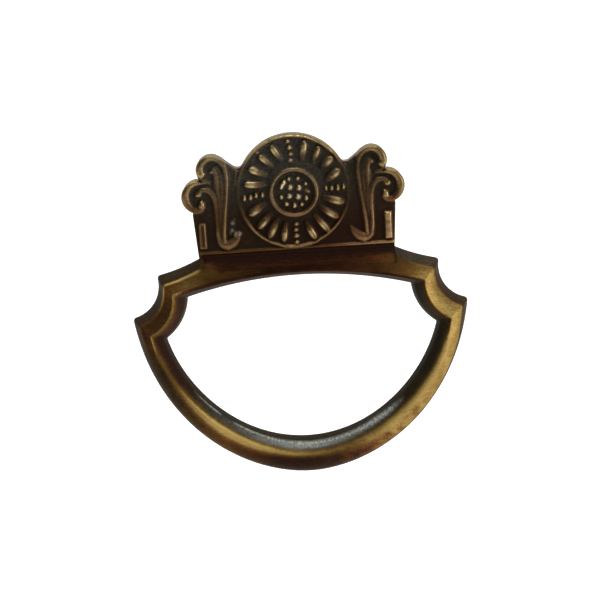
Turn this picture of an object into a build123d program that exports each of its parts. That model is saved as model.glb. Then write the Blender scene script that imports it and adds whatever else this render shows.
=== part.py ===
from build123d import *
from collections import namedtuple
from math import atan2, degrees, sqrt
import os

# Fixed ring pull: one casting with a shield-shaped ring, an ornamental plate and two screw posts.
# It is drawn lying on its back: X across, Y up the door, Z out from the door, in millimetres.
# The origin is halfway between the screw holes, on the door's face. The last step stands it upright.

# Overall sizes of the ring
RING_HALF_WIDTH = 35.7
RING_FOOT_DROP = 55.0
RING_STANDOFF = 12.0

# Screw posts, tapped M4
HOLE_SPACING = 32.0
SCREW_HOLE_RADIUS = 1.65
SCREW_HOLE_DEPTH = 10.0
DRILL_TIP_LENGTH = 1.0
HOLE_MOUTH_CHAMFER = 0.4
POST_RADIUS = 3.75
POST_FLARE = 0.8

# Heights above the ring's back
THROAT_HEIGHT = 2.4
WALL_HEIGHT = 2.1
EDGE_HEIGHT = 4.2
CROWN_HEIGHT = 5.2
CREST_HEIGHT = 5.6
PLATE_BACK_HEIGHT = 3.0
GROUND_HEIGHT = 7.3

# Outer line of the ring, left half: the shoulder, a hollow notch, the corner and the long lower curve
ROOT_HALF_WIDTH = 20.4
ROOT_DROP = 6.6
SHOULDER_STEP = 5.8
SHOULDER_DROP = 9.85
SHOULDER_SAG = 0.35
CORNER_DROP = 18.7
NOTCH_STEP = (4.7, 3.0)
FLANK_PULL = (3.2, -25.0)
BELLY_REACH = 13.5
CORNER_ROUNDING = 0.9

# A line of the ring by its control points, or how far they lie inside those of the outer line
RingLine = namedtuple("RingLine", "root shoulder notch corner flank belly foot")
WALL_INSET = RingLine(
    (0.5, -0.6), (0.8, -0.8), (0.6, -0.5), (0.9, -0.5), (0.4, 0.3), (0, 0.4), (0, 0.4)
)
EDGE_INSET = RingLine(
    (1.0, -1.3), (1.5, -1.5), (1.2, -1.0), (1.8, -1.0), (1.6, 1.2), (0.1, 1.6), (0, 1.6)
)
CREST_INSET = RingLine(
    (1.4, -3.0), (3.9, -3.8), (4.0, -2.5), (4.5, -3.5), (3.6, 7.4), (-0.3, 5.4), (0, 5.4)
)
OPENING_INSET = RingLine(
    (1.8, -4.0), (6.3, -5.0), (5.9, -3.9), (7.0, -4.8), (6.8, 8.5), (-0.9, 8.0), (0, 8.0)
)
CREST_TOP_DROP = 10.0
OPENING_TOP_DROP = 11.5
CREST_LAND = 0.1
CROWN_SHARE = 0.5
THROAT_SHARE = 0.16

# Plate
PLATE_FOOT_HALF_WIDTH = 20.2
PLATE_FOOT_DROP = 5.0
PLATE_HALF_WIDTH = 20.8
PLATE_SIDE_HEIGHT = 8.5
LOWER_LOBE = (-19.4, 7.0)
LOWER_LOBE_RADIUS = 3.35
UPPER_LOBE = (-16.45, 12.35)
UPPER_LOBE_RADIUS = 3.0
UPPER_LOBE_SLOPE = (-14.1, 14.6)
VALLEY = (-11.2, 12.3)
VALLEY_ROUNDING = 1.5

# Hollow moulding under the plate's lip
COVE_HALF_WIDTH = 19.7
COVE_LIP_DROP = 0.6
COVE_LIP_HEIGHT = 7.0
COVE_FOOT_DROP = 9.0
COVE_FOOT_HEIGHT = 5.3
COVE_HOLLOW = 0.8
LIP_RADIUS = 0.4
CHEEK_WIDTH = 1.0
CHEEK_FOOT_DROP = 8.0
CHEEK_FOOT_HEIGHT = 4.6

# Rosette: rim, core and 20 rays of beads and petals
DISC_RISE = 7.1
DISC_RADIUS = 11.65
RIM_WIDTH = 0.9
RIM_SLOPE = 0.3
RIM_RISE = 0.6
CORE_RADIUS = 5.0
CORE_RING_WIDTH = 0.9
CORE_SLOPE = 0.3
CORE_RISE = 1.0
CORE_FLOOR_RISE = 0.2
SEED_COUNT = 4
SEED_TURN = 45
SEED_CIRCLE = 1.35
SEED_RADIUS = 0.7
GRAIN_COUNT = 11
GRAIN_CIRCLE = 2.95
GRAIN_RADIUS = 0.5
RAY_COUNT = 20
RAYS_PER_QUARTER = 5
STUD_FACES = 8
STUD_LEAN = 0.5
BEAD_RADIUS = 0.55
BEADS_PER_ROW = 4
BEAD_ROW_START = 6.6
BEAD_PITCH = 1.2
PETAL_START = 5.6
PETAL_LENGTH = 5.0
PETAL_HALF_WIDTH = 0.78
PETAL_RIDGE_HALF_WIDTH = 0.12
PETAL_RISE = 0.7

# Scrolls and end bars, left half
SCROLL_HALF_WIDTH = 0.85
STEM_HALF_WIDTH = 0.65
RIB_TOP_SHARE = 0.4
RIB_RISE = 0.6
BULB_RADIUS = 0.9
UPPER_SCROLL = [(-18.1, 11.3), (-18.55, 12.85), (-16.7, 14.5), (-14.1, 13.3), (-13.4, 10.0)]
STEM = [(-13.7, 11.8), (-13.4, 9.0), (-14.1, 2.8), (-14.7, -2.0), (-13.2, -3.7), (-11.4, -1.6)]
LOWER_SCROLL = [(-19.3, 4.9), (-20.55, 4.8), (-21.85, 7.1), (-20.2, 9.35), (-17.6, 9.5)]
CURL = [(-19.3, 7.6), (-18.2, 8.5), (-16.3, 7.0), (-15.8, 3.7), (-15.7, -1.5)]
LEAF = [(-16.5, 12.2), (-15.0, 8.0), (-14.9, 1.0)]
BAR_HALF_WIDTH = 0.75
BAR_EDGE_MARGIN = 1.1
BAR_LENGTH = 5.7
BAR_FOOT_MARGIN = 1.1
BAR_RISE = 0.5

# How far raised ornament is sunk into the surface below it, so that the two are one
BEDDING = 0.2


def shifted(point, step):
    """A point moved by a step."""
    return (point[0] + step[0], point[1] + step[1])


def flipped(point):
    """The same point on the right half."""
    return (-point[0], point[1])


def inset(line, steps):
    """A further line of the ring, inside a given one."""
    return RingLine(*(shifted(point, step) for point, step in zip(line, steps)))


def between(line_a, line_b, share):
    """A line of the ring between two others: a share of 0 gives the first and 1 the second."""
    points = []
    for (x_a, y_a), (x_b, y_b) in zip(line_a, line_b):
        points.append((x_a + (x_b - x_a) * share, y_a + (y_b - y_a) * share))
    return RingLine(*points)


def lower_edges(line):
    """The notches and the long lower curve, from the right shoulder round to the left one."""
    return [
        ThreePointArc(flipped(line.shoulder), flipped(line.notch), flipped(line.corner)),
        Bezier(flipped(line.corner), flipped(line.flank), flipped(line.belly), line.foot),
        Bezier(line.foot, line.belly, line.flank, line.corner),
        ThreePointArc(line.corner, line.notch, line.shoulder),
    ]


def solid_level(line, height):
    """The area inside a line of the ring whose top runs up to the plate."""
    sag = ((line.root[0] + line.shoulder[0]) / 2, (line.root[1] + line.shoulder[1]) / 2 - SHOULDER_SAG)
    upper_edges = [
        ThreePointArc(line.shoulder, sag, line.root),
        Line(line.root, flipped(line.root)),
        ThreePointArc(flipped(line.root), flipped(sag), flipped(line.shoulder)),
    ]
    return Pos(0, 0, RING_STANDOFF + height) * make_face(Wire(lower_edges(line) + upper_edges))


def opening_level(line, top_drop, height):
    """The area inside a line of the ring whose top is one arch from shoulder to shoulder."""
    arch = ThreePointArc(line.shoulder, (0, -top_drop), flipped(line.shoulder))
    return Pos(0, 0, RING_STANDOFF + height) * make_face(Wire(lower_edges(line) + [arch]))


# Ring: a leaning wall, a crowned face up to the crest, and a steep throat round the opening
corner = (-RING_HALF_WIDTH, -CORNER_DROP)
outer = RingLine(
    root=(-ROOT_HALF_WIDTH, -ROOT_DROP),
    shoulder=(-RING_HALF_WIDTH + SHOULDER_STEP, -SHOULDER_DROP),
    notch=shifted(corner, NOTCH_STEP),
    corner=corner,
    flank=shifted(corner, FLANK_PULL),
    belly=(-BELLY_REACH, -RING_FOOT_DROP),
    foot=(0, -RING_FOOT_DROP),
)
wall = inset(outer, WALL_INSET)
edge = inset(outer, EDGE_INSET)
crest = inset(outer, CREST_INSET)
opening = inset(outer, OPENING_INSET)
ring = loft(
    [
        solid_level(outer, 0),
        solid_level(wall, WALL_HEIGHT),
        solid_level(edge, EDGE_HEIGHT),
        solid_level(between(edge, crest, CROWN_SHARE), CROWN_HEIGHT),
        solid_level(between(crest, edge, CREST_LAND), CREST_HEIGHT),
    ],
    ruled=True,
)
throat_top_drop = OPENING_TOP_DROP + (CREST_TOP_DROP - OPENING_TOP_DROP) * THROAT_SHARE
finger_gap = loft(
    [
        opening_level(opening, OPENING_TOP_DROP, 0),
        opening_level(between(opening, crest, THROAT_SHARE), throat_top_drop, THROAT_HEIGHT),
        opening_level(crest, CREST_TOP_DROP, CREST_HEIGHT),
    ],
    ruled=True,
)
sharp_corners = []
for point in (outer.shoulder, outer.corner, flipped(outer.shoulder), flipped(outer.corner)):
    wall_corners = ring.edges().filter_by(lambda e: e.bounding_box().size.Z > WALL_HEIGHT - BEDDING)
    sharp_corners += wall_corners.sort_by_distance((point[0], point[1], RING_STANDOFF))[:2]
ring = fillet(sharp_corners, CORNER_ROUNDING)

# Plate: scroll lobes either side of a round disc
plate_half = make_face(
    Polyline(
        (0, -PLATE_FOOT_DROP),
        (-PLATE_FOOT_HALF_WIDTH, -PLATE_FOOT_DROP),
        (-PLATE_HALF_WIDTH, PLATE_SIDE_HEIGHT - PLATE_FOOT_DROP),
        LOWER_LOBE,
        UPPER_LOBE,
        UPPER_LOBE_SLOPE,
        VALLEY,
        (0, VALLEY[1]),
        close=True,
    )
)
plate_half += Pos(*LOWER_LOBE) * Circle(LOWER_LOBE_RADIUS)
plate_half += Pos(*UPPER_LOBE) * Circle(UPPER_LOBE_RADIUS)
plate_outline = Pos(0, DISC_RISE) * Circle(DISC_RADIUS) + plate_half + mirror(plate_half, Plane.YZ)
valleys = [plate_outline.vertices().sort_by_distance(point)[0] for point in (VALLEY, flipped(VALLEY))]
plate_outline = fillet(valleys, VALLEY_ROUNDING)
plate_back = Pos(0, 0, RING_STANDOFF + PLATE_BACK_HEIGHT)
plate = plate_back * extrude(plate_outline, GROUND_HEIGHT - PLATE_BACK_HEIGHT)

# Hollow moulding that carries the plate's lip down to the ring, drawn with its Y up the door
cove_lip = (-PLATE_FOOT_DROP - COVE_LIP_DROP, COVE_LIP_HEIGHT)
cove_foot = (-COVE_FOOT_DROP, COVE_FOOT_HEIGHT)
cove_middle = (
    (cove_lip[0] + cove_foot[0]) / 2 + COVE_HOLLOW,
    (cove_lip[1] + cove_foot[1]) / 2 - COVE_HOLLOW,
)
cove_hollow = ThreePointArc(cove_lip, cove_middle, cove_foot)
cove_back = Polyline(
    cove_foot,
    (cove_foot[0], PLATE_BACK_HEIGHT),
    (-PLATE_FOOT_DROP + BEDDING, PLATE_BACK_HEIGHT),
    (-PLATE_FOOT_DROP + BEDDING, cove_lip[1]),
    cove_lip,
)
cove_profile = make_face([cove_hollow, *cove_back.edges()])
cove = Pos(0, 0, RING_STANDOFF) * extrude(Plane.YZ * cove_profile, COVE_HALF_WIDTH, both=True)
ground = Pos(0, 0, RING_STANDOFF + GROUND_HEIGHT)
lip_line = ground * Pos(0, -PLATE_FOOT_DROP + LIP_RADIUS, 0) * Rot(0, 90, 0)
lip = lip_line * Cylinder(LIP_RADIUS, 2 * COVE_HALF_WIDTH)

# Cheeks that close the ends of the hollow moulding
cheek_profile = make_face(
    Polyline(
        (-PLATE_FOOT_DROP + BEDDING, PLATE_BACK_HEIGHT),
        (-PLATE_FOOT_DROP + BEDDING, GROUND_HEIGHT),
        (-PLATE_FOOT_DROP, GROUND_HEIGHT),
        (-CHEEK_FOOT_DROP, CHEEK_FOOT_HEIGHT),
        (-CHEEK_FOOT_DROP, PLATE_BACK_HEIGHT),
        close=True,
    )
)
cheek_plane = Plane.YZ.offset(PLATE_FOOT_HALF_WIDTH - CHEEK_WIDTH)
cheek = Pos(0, 0, RING_STANDOFF) * extrude(cheek_plane * cheek_profile, CHEEK_WIDTH)
cheeks = [cheek, mirror(cheek, Plane.YZ)]

# Screw posts, flared where they meet the plate, with blind holes from the door side
post_height = RING_STANDOFF + PLATE_BACK_HEIGHT
post_profile = make_face(
    Polyline(
        (0, 0),
        (POST_RADIUS, 0),
        (POST_RADIUS, post_height - POST_FLARE),
        (POST_RADIUS + POST_FLARE, post_height),
        (POST_RADIUS + POST_FLARE, post_height + BEDDING),
        (0, post_height + BEDDING),
        close=True,
    )
)
screw_profile = make_face(
    Polyline(
        (0, 0),
        (SCREW_HOLE_RADIUS + HOLE_MOUTH_CHAMFER, 0),
        (SCREW_HOLE_RADIUS, HOLE_MOUTH_CHAMFER),
        (SCREW_HOLE_RADIUS, SCREW_HOLE_DEPTH),
        (0, SCREW_HOLE_DEPTH + DRILL_TIP_LENGTH),
        close=True,
    )
)
screw_places = [Pos(side * HOLE_SPACING / 2, 0, 0) for side in (-1, 1)]
posts = [place * revolve(Plane.XZ * post_profile, Axis.Z) for place in screw_places]
screw_holes = [place * revolve(Plane.XZ * screw_profile, Axis.Z) for place in screw_places]


def stud(radius, rise):
    """A low bead, cut with leaning faces and bedded in the surface below it."""
    lean = degrees(atan2(radius * STUD_LEAN, rise + BEDDING))
    return Pos(0, 0, -BEDDING) * extrude(RegularPolygon(radius, STUD_FACES), rise + BEDDING, taper=lean)


def turned(*points):
    """A solid turned about the rosette's axis from a profile of radius and height."""
    return revolve(Plane.XZ * make_face(Polyline(*points, close=True)), Axis.Z)


# Rosette
centre = ground * Pos(0, DISC_RISE, 0)
rim = turned(
    (DISC_RADIUS, -BEDDING),
    (DISC_RADIUS - RIM_SLOPE, RIM_RISE),
    (DISC_RADIUS - RIM_WIDTH + RIM_SLOPE, RIM_RISE),
    (DISC_RADIUS - RIM_WIDTH, -BEDDING),
)
core = turned(
    (0, -BEDDING),
    (CORE_RADIUS, -BEDDING),
    (CORE_RADIUS - CORE_SLOPE, CORE_RISE),
    (CORE_RADIUS - CORE_RING_WIDTH + CORE_SLOPE, CORE_RISE),
    (CORE_RADIUS - CORE_RING_WIDTH, CORE_FLOOR_RISE),
    (0, CORE_FLOOR_RISE),
)
core_floor = centre * Pos(0, 0, CORE_FLOOR_RISE)
rosette = [centre * rim, centre * core]
for place in PolarLocations(SEED_CIRCLE, SEED_COUNT, SEED_TURN):
    rosette.append(core_floor * place * stud(SEED_RADIUS, SEED_RADIUS))
for place in PolarLocations(GRAIN_CIRCLE, GRAIN_COUNT, SEED_TURN):
    rosette.append(core_floor * place * stud(GRAIN_RADIUS, GRAIN_RADIUS))

petal_reach = PETAL_LENGTH - PETAL_HALF_WIDTH
petal_touch = (
    PETAL_START + petal_reach - PETAL_HALF_WIDTH**2 / petal_reach,
    PETAL_HALF_WIDTH * sqrt(1 - (PETAL_HALF_WIDTH / petal_reach) ** 2),
)
petal_outline = make_face(
    [
        Line((PETAL_START, 0), (petal_touch[0], -petal_touch[1])),
        ThreePointArc((petal_touch[0], -petal_touch[1]), (PETAL_START + PETAL_LENGTH, 0), petal_touch),
        Line(petal_touch, (PETAL_START, 0)),
    ]
)
petal_slope = degrees(atan2(PETAL_HALF_WIDTH - PETAL_RIDGE_HALF_WIDTH, PETAL_RISE + BEDDING))
petal = Pos(0, 0, -BEDDING) * extrude(petal_outline, PETAL_RISE + BEDDING, taper=petal_slope)
bead = stud(BEAD_RADIUS, BEAD_RADIUS)
bead_row = [Pos(BEAD_ROW_START + BEAD_PITCH * i, 0, 0) * bead for i in range(BEADS_PER_ROW)]
for ray in range(RAY_COUNT):
    turn = centre * Rot(0, 0, 360 * ray / RAY_COUNT)
    if ray % RAYS_PER_QUARTER == 0:
        rosette += [turn * row_bead for row_bead in bead_row]
    else:
        rosette.append(turn * petal)


def rib(points, heading, half_width):
    """A raised rib along arcs that run into each other, starting with a given heading."""
    arcs = []
    for begin, end in zip(points, points[1:]):
        arcs.append(TangentArc(begin, end, tangent=heading))
        heading = arcs[-1] % 1
    path = Wire(arcs)
    section = Polyline(
        (-BEDDING, -half_width),
        (RIB_RISE, -half_width * RIB_TOP_SHARE),
        (RIB_RISE, half_width * RIB_TOP_SHARE),
        (-BEDDING, half_width),
        close=True,
    )
    start = Plane(origin=path @ 0, x_dir=(0, 0, 1), z_dir=path % 0)
    return sweep(start * make_face(section), path=path)


# Scrolls and end bars
left_side = [
    rib(UPPER_SCROLL, (-1, 0.6), SCROLL_HALF_WIDTH),
    rib(STEM, (0.25, -1), STEM_HALF_WIDTH),
    rib(LOWER_SCROLL, (-1, -0.6), SCROLL_HALF_WIDTH),
    rib(CURL, (0.2, 1), STEM_HALF_WIDTH),
    rib(LEAF, (0.5, -1), STEM_HALF_WIDTH),
]
left_side += [Pos(*path[0]) * stud(BULB_RADIUS, BULB_RADIUS) for path in (UPPER_SCROLL, LOWER_SCROLL, CURL)]
left_side.append(
    Pos(
        -PLATE_FOOT_HALF_WIDTH + BAR_EDGE_MARGIN,
        -PLATE_FOOT_DROP + BAR_FOOT_MARGIN + BAR_LENGTH / 2,
        (BAR_RISE - BEDDING) / 2,
    )
    * Box(2 * BAR_HALF_WIDTH, BAR_LENGTH, BAR_RISE + BEDDING)
)
scrolls = [ground * shape for shape in left_side]
scrolls += [mirror(shape, Plane.YZ) for shape in scrolls]

pull = ring + plate + cove + lip + cheeks + posts + rosette + scrolls
pull -= [finger_gap] + screw_holes

os.makedirs("parts", exist_ok=True)
export_step(Plane.XZ * pull, "parts/ring_pull.step")
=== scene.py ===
import math

import bmesh
import bpy
import numpy as np
from mathutils import Matrix, Vector, kdtree


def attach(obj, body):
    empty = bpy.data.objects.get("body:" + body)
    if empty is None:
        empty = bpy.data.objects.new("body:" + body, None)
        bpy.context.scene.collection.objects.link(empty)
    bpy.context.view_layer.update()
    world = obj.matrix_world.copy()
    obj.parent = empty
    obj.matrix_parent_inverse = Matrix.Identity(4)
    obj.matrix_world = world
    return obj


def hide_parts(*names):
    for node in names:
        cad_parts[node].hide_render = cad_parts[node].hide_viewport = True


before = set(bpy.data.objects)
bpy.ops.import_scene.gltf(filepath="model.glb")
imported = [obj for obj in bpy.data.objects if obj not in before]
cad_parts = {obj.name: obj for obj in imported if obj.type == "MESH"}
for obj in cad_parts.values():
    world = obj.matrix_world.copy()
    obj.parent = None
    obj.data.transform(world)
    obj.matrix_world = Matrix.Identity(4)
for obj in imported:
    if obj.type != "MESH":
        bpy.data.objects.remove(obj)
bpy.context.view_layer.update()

# The casting is drawn lying on its back, in millimetres: x across, y up the door and h in front
# of the ring's back. stand() turns such points into the object's own frame, in metres.
STANDOFF = 12.0
# The plate's flat back, and the ground of its front
BACK_HEIGHT = 3.0
GROUND = 7.3


def stand(points):
    points = np.asarray(points, float)
    return np.stack([points[:, 0], -(STANDOFF + points[:, 2]), points[:, 1]], axis=1) / 1000


def ramp(value, low, high):
    """0 below low, 1 above high, smooth between."""
    t = np.clip((value - low) / (high - low), 0, 1)
    return t * t * (3 - 2 * t)


def bell(value, middle, width):
    """1 in the middle, falling to 0 on both sides."""
    return np.exp(-(((value - middle) / width) ** 2))


def waves(x, y, z, scale):
    """Gentle unevenness of a casting, about -1 to 1, repeatable and without seams."""
    a, b, c = x / scale, y / scale, z / scale
    total = np.sin(1.7 * a + 0.9 * b + 0.4) * np.cos(1.3 * c - 0.7 * a)
    total += 0.6 * np.sin(2.9 * b - 1.1 * c + 2.1) * np.cos(2.3 * a + 0.5)
    total += 0.4 * np.sin(4.7 * c + 3.1 * a + 1.3) * np.sin(4.1 * b - 0.6)
    return total / 2


def as_object(name, data):
    made = bpy.data.objects.new(name, data)
    bpy.context.scene.collection.objects.link(made)
    return made


# Camera, set first
LENS, SENSOR_WIDTH = 80, 36
CAMERA_TARGET, CAMERA_DISTANCE = (0, -0.015, -0.0165), 0.28
CAMERA_ELEVATION, CAMERA_ROLL = math.radians(12), math.radians(3.7)


def make_camera():
    data = bpy.data.cameras.new("camera")
    data.lens = LENS
    data.sensor_width = SENSOR_WIDTH
    data.clip_start = 0.01
    data.clip_end = 20
    camera = as_object("camera", data)
    back = Vector((0, -math.cos(CAMERA_ELEVATION), math.sin(CAMERA_ELEVATION)))
    level_up = Vector((0, math.sin(CAMERA_ELEVATION), math.cos(CAMERA_ELEVATION)))
    right = Vector((1, 0, 0)) * math.cos(CAMERA_ROLL) - level_up * math.sin(CAMERA_ROLL)
    up = Vector((1, 0, 0)) * math.sin(CAMERA_ROLL) + level_up * math.cos(CAMERA_ROLL)
    place = Vector(CAMERA_TARGET) + back * CAMERA_DISTANCE
    facing = Matrix((right, up, back)).transposed().to_4x4()
    camera.matrix_world = Matrix.Translation(place) @ facing
    bpy.context.scene.camera = camera


make_camera()


# Lines of the ring
def arc_through(a, m, b, count=200):
    """Points of the circle through three points, from a to b by way of m."""
    a, m, b = (np.asarray(p, float) for p in (a, m, b))
    d = 2 * (a[0] * (m[1] - b[1]) + m[0] * (b[1] - a[1]) + b[0] * (a[1] - m[1]))
    sq = [p @ p for p in (a, m, b)]
    centre = np.array([
        (sq[0] * (m[1] - b[1]) + sq[1] * (b[1] - a[1]) + sq[2] * (a[1] - m[1])) / d,
        (sq[0] * (b[0] - m[0]) + sq[1] * (a[0] - b[0]) + sq[2] * (m[0] - a[0])) / d,
    ])
    angle = [math.atan2(*(p - centre)[::-1]) for p in (a, m, b)]
    for k in (1, 2):
        while angle[k] - angle[k - 1] > math.pi:
            angle[k] -= 2 * math.pi
        while angle[k] - angle[k - 1] < -math.pi:
            angle[k] += 2 * math.pi
    turn = np.linspace(angle[0], angle[2], count)
    radius = np.hypot(*(a - centre))
    return centre + radius * np.stack([np.cos(turn), np.sin(turn)], axis=1)


def bezier(p0, p1, p2, p3, count=400):
    t = np.linspace(0, 1, count)[:, None]
    p0, p1, p2, p3 = (np.asarray(p, float) for p in (p0, p1, p2, p3))
    return (1 - t) ** 3 * p0 + 3 * t * (1 - t) ** 2 * p1 + 3 * t**2 * (1 - t) * p2 + t**3 * p3


def straight(a, b, count=50):
    t = np.linspace(0, 1, count)[:, None]
    return np.asarray(a, float) * (1 - t) + np.asarray(b, float) * t


def lengths(path):
    """The distance along a path to each of its points."""
    return np.concatenate([[0], np.cumsum(np.hypot(*np.diff(path, axis=0).T))])


def at(path, distances):
    """The places at given distances along a path."""
    along = lengths(path)
    return np.stack([np.interp(distances, along, path[:, k]) for k in (0, 1)], axis=1)


# Points next to a corner, by their distance from it
CORNER_STEPS = np.array([0, 0.12, 0.25, 0.4, 0.6, 0.85, 1.2])
NO_CORNER = 99.0


def stations(length, count, corner_first, corner_last):
    """Distances along a sector, with those of CORNER_STEPS at an end that is a corner."""
    first = CORNER_STEPS if corner_first else np.zeros(1)
    last = length - CORNER_STEPS[::-1] if corner_last else np.array([length])
    middle = np.linspace(first[-1], last[0], count)[1:-1]
    return np.concatenate([first, middle, last])


def half_line(sectors, counts, rounding):
    """Left half of a line of the ring, from its top middle to its foot, two corners rounded.
    Sectors are: top to root, root to shoulder, shoulder to corner, corner to foot."""
    corner_ends = [(False, False), (False, True), (True, True), (True, False)]
    pieces, from_corner = [], []
    for path, count, ends in zip(sectors, counts, corner_ends):
        length = lengths(path)[-1]
        s = stations(length, count, *ends)
        pieces.append(at(path, s))
        before = s if ends[0] else np.full(len(s), NO_CORNER)
        after = length - s if ends[1] else np.full(len(s), NO_CORNER)
        from_corner.append((before, after))
    for k in (1, 2):
        corner = pieces[k][-1].copy()
        d = rounding[k - 1]
        start = at(sectors[k], lengths(sectors[k])[-1] - d * np.ones(1))[0]
        end = at(sectors[k + 1], d * np.ones(1))[0]
        near = from_corner[k][1] < d
        t = ((d - from_corner[k][1][near]) / (2 * d))[:, None]
        pieces[k][near] = (1 - t) ** 2 * start + 2 * t * (1 - t) * corner + t**2 * end
        near = from_corner[k + 1][0] < d
        t = ((d + from_corner[k + 1][0][near]) / (2 * d))[:, None]
        pieces[k + 1][near] = (1 - t) ** 2 * start + 2 * t * (1 - t) * corner + t**2 * end
    return np.concatenate([piece[:-1] for piece in pieces[:-1]] + [pieces[-1]])


def whole(half):
    """Both halves as one closed loop that starts at the top middle and runs by the left side."""
    other = half[1:-1][::-1] * [-1, 1]
    return np.concatenate([half, other])


OUTER = dict(root=(-20.4, -6.6), shoulder=(-29.9, -9.85), notch=(-31.0, -15.7),
             corner=(-35.7, -18.7), flank=(-32.5, -43.7), belly=(-13.5, -55.0), foot=(0, -55.0))
EDGE_INSET = dict(root=(1.0, -1.3), shoulder=(1.5, -1.5), notch=(1.2, -1.0), corner=(1.8, -1.0),
                  flank=(1.6, 1.2), belly=(0.1, 1.6), foot=(0, 1.6))
CREST_INSET = dict(root=(1.4, -3.0), shoulder=(3.9, -3.8), notch=(4.0, -2.5), corner=(4.5, -3.5),
                   flank=(3.6, 7.4), belly=(-0.3, 5.4), foot=(0, 5.4))
OPENING_INSET = dict(root=(1.8, -4.0), shoulder=(6.3, -5.0), notch=(5.9, -3.9), corner=(7.0, -4.8),
                     flank=(6.8, 8.5), belly=(-0.9, 8.0), foot=(0, 8.0))
COUNTS = (50, 34, 34, 190)
SHOULDER_SAG = 0.35
CREST_DROP, OPENING_DROP, ARCH_ROOT = 10.0, 11.5, -17.0


def inset(steps):
    """The places of the outer line, each moved by its own step."""
    return {name: (OUTER[name][0] + dx, OUTER[name][1] + dy) for name, (dx, dy) in steps.items()}


def ring_line(line, rounding, arch_drop=None):
    """One line of the ring. Its top is straight, or an arch whose middle lies at arch_drop."""
    if arch_drop is None:
        top = straight((0, line["root"][1]), line["root"])
        (root_x, root_y), (shoulder_x, shoulder_y) = line["root"], line["shoulder"]
        sag = ((root_x + shoulder_x) / 2, (root_y + shoulder_y) / 2 - SHOULDER_SAG)
        shoulder = arc_through(line["root"], sag, line["shoulder"])
    else:
        flipped = (-line["shoulder"][0], line["shoulder"][1])
        arch = arc_through(flipped, (0, -arch_drop), line["shoulder"], 600)
        split = np.argmin(np.abs(arch[:, 0] - ARCH_ROOT))
        middle = np.argmin(np.abs(arch[:, 0]))
        top, shoulder = arch[middle:split + 1].copy(), arch[split:]
        top[0, 0] = 0
    notch = arc_through(line["shoulder"], line["notch"], line["corner"])
    lower = bezier(line["corner"], line["flank"], line["belly"], line["foot"])
    return whole(half_line([top, shoulder, notch, lower], COUNTS, rounding))


outer_line = ring_line(OUTER, (0.9, 0.9))
edge_line = ring_line(inset(EDGE_INSET), (0.7, 0.5))
crest_line = ring_line(inset(CREST_INSET), (0.3, 0.3), CREST_DROP)
opening_line = ring_line(inset(OPENING_INSET), (0.35, 0.35), OPENING_DROP)
STATIONS = len(outer_line)
half_count = STATIONS // 2
along_left = lengths(outer_line[:half_count + 1])
corner_index = int(np.argmin(outer_line[:half_count, 0]))
past_corner = along_left - along_left[corner_index]
past_corner = np.concatenate([past_corner, past_corner[1:-1][::-1]])
# 0 above the ring's widest corners, 1 well below them
lower_share = ramp(past_corner, 0.5, 9.0)


def lifted(line, height):
    return np.column_stack([line, np.broadcast_to(height, len(line))])


def mix(a, b, share):
    return a + (b - a) * share


WALL_HEIGHT, EDGE_HEIGHT, CREST_HEIGHT = 2.1, 4.2, 5.6
wall_share = mix(0.46, 0.25, lower_share)
crown_height = mix(4.72, 5.25, lower_share)
foot_share = lower_share * ramp(-outer_line[:, 1], 34, 52)
throat_share = mix(0.2, 0.12, foot_share)
throat_height = mix(2.5, 2.3, lower_share)
guides = [
    lifted(outer_line, 0.0),
    lifted(mix(outer_line, edge_line, wall_share[:, None]), WALL_HEIGHT),
    lifted(edge_line, EDGE_HEIGHT),
    lifted(mix(edge_line, crest_line, 0.5), crown_height),
    lifted(crest_line, CREST_HEIGHT),
    lifted(mix(opening_line, crest_line, throat_share[:, None]), throat_height),
    lifted(opening_line, 0.0),
]
# For each guide: what its rounding cuts off, in the ring's upper and lower part, then its rows
CUTS = [mix(upper, lower, lower_share) for upper, lower in (
    (0.25, 0.25), (1.0, 1.2), (0.32, 1.35), (0.75, 0.75), (0.45, 1.15), (0.6, 0.6), (0.2, 0.2))]
CORNER_ROWS = (3, 3, 6, 5, 7, 6, 3)
SIDE_ROWS = (3, 3, 2, 4, 8, 3, 3)
CORNER_MARKS = 0.3


def moved(line, other, distance):
    """A line whose points are each moved towards another line by a distance."""
    step = other - line
    return line + step * (distance / np.linalg.norm(step, axis=1))[:, None]


def section_rows():
    """Rows of the ring's skin: guide lines with rounded turns between flat sides. Each row keeps
    a mark of where it lies: 0 at the outer back edge, 2 at the face's outer edge, 4 on the crest
    and 6 at the opening's back edge."""
    rows, marks = [], []
    count = len(guides)
    for k in range(count):
        following = (k + 1) % count
        here, before, after = guides[k], guides[k - 1], guides[following]
        a, b = moved(here, before, CUTS[k]), moved(here, after, CUTS[k])
        for t in np.linspace(0, 1, CORNER_ROWS[k]):
            rows.append((1 - t) ** 2 * a + 2 * t * (1 - t) * here + t**2 * b)
            marks.append(k + (t - 0.5) * CORNER_MARKS)
        end = moved(after, here, CUTS[following])
        for j in range(1, SIDE_ROWS[k] + 1):
            share = j / (SIDE_ROWS[k] + 1)
            rows.append(mix(b, end, share))
            marks.append(k + CORNER_MARKS / 2 + (1 - CORNER_MARKS) * share)
    return np.array(rows), np.array(marks)


rows, marks = section_rows()
ROWS = len(rows)
ring_points = rows.transpose(1, 0, 2).reshape(-1, 3)
ring_marks = np.tile(marks, STATIONS)
row_steps = np.linalg.norm(np.diff(rows, axis=0), axis=2)
row_lengths = np.concatenate([np.zeros((1, STATIONS)), np.cumsum(row_steps, axis=0)])
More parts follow.
